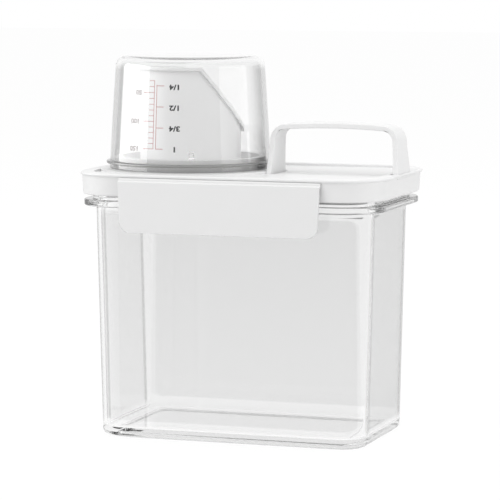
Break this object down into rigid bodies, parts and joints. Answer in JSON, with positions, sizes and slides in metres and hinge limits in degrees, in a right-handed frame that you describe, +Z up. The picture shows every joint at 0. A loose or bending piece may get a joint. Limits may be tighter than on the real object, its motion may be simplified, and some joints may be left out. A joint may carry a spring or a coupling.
{
  "type": "detergent dispenser bottle",
  "caption": "Clear rectangular laundry-powder container with a snap lid, carry handle, pouring spout and a clear measuring cup as its cap.",
  "frame": {"origin": "centre of the foot's face, where the container stands", "axes": "+Z up, +X from the cup end to the handle end, -Y to the front face with the stated front flap"},
  "size_m": [0.1506, 0.0998, 0.1786],
  "materials": {
    "clear_body": "clear polystyrene, gloss",
    "clear_cup": "clear polystyrene, gloss",
    "white_lid": "satin white polypropylene",
    "white_spout": "white polypropylene",
    "silicone": "pale silicone"
  },
  "bodies": {
    "container": {"container": "clear_body"},
    "lid": {"lid": "white_lid", "lid_seal": "silicone", "pour_spout": "white_spout", "cup_ring": "silicone", "carry_handle": "white_lid"},
    "front_flap": {"front_flap": "white_lid"},
    "back_flap": {"back_flap": "white_lid"},
    "cup": {"measuring_cup": "clear_cup"}
  },
  "joints": [
    {"name": "lid_lift", "type": "slide", "parent": "container", "child": "lid", "axis": [0, 0, 1], "range_m": [0, 0.06]},
    {"name": "front_flap_hinge", "type": "hinge", "parent": "lid", "child": "front_flap", "pos_m": [0, -0.04795, 0.1227], "axis": [-1, 0, 0], "range_deg": [-4.5, 95]},
    {"name": "back_flap_hinge", "type": "hinge", "parent": "lid", "child": "back_flap", "pos_m": [0, 0.04795, 0.1227], "axis": [1, 0, 0], "range_deg": [-4.5, 95]},
    {"name": "cup_lift", "type": "slide", "parent": "lid", "child": "cup", "axis": [0, 0, 1], "range_m": [0, 0.06]}
  ]
}
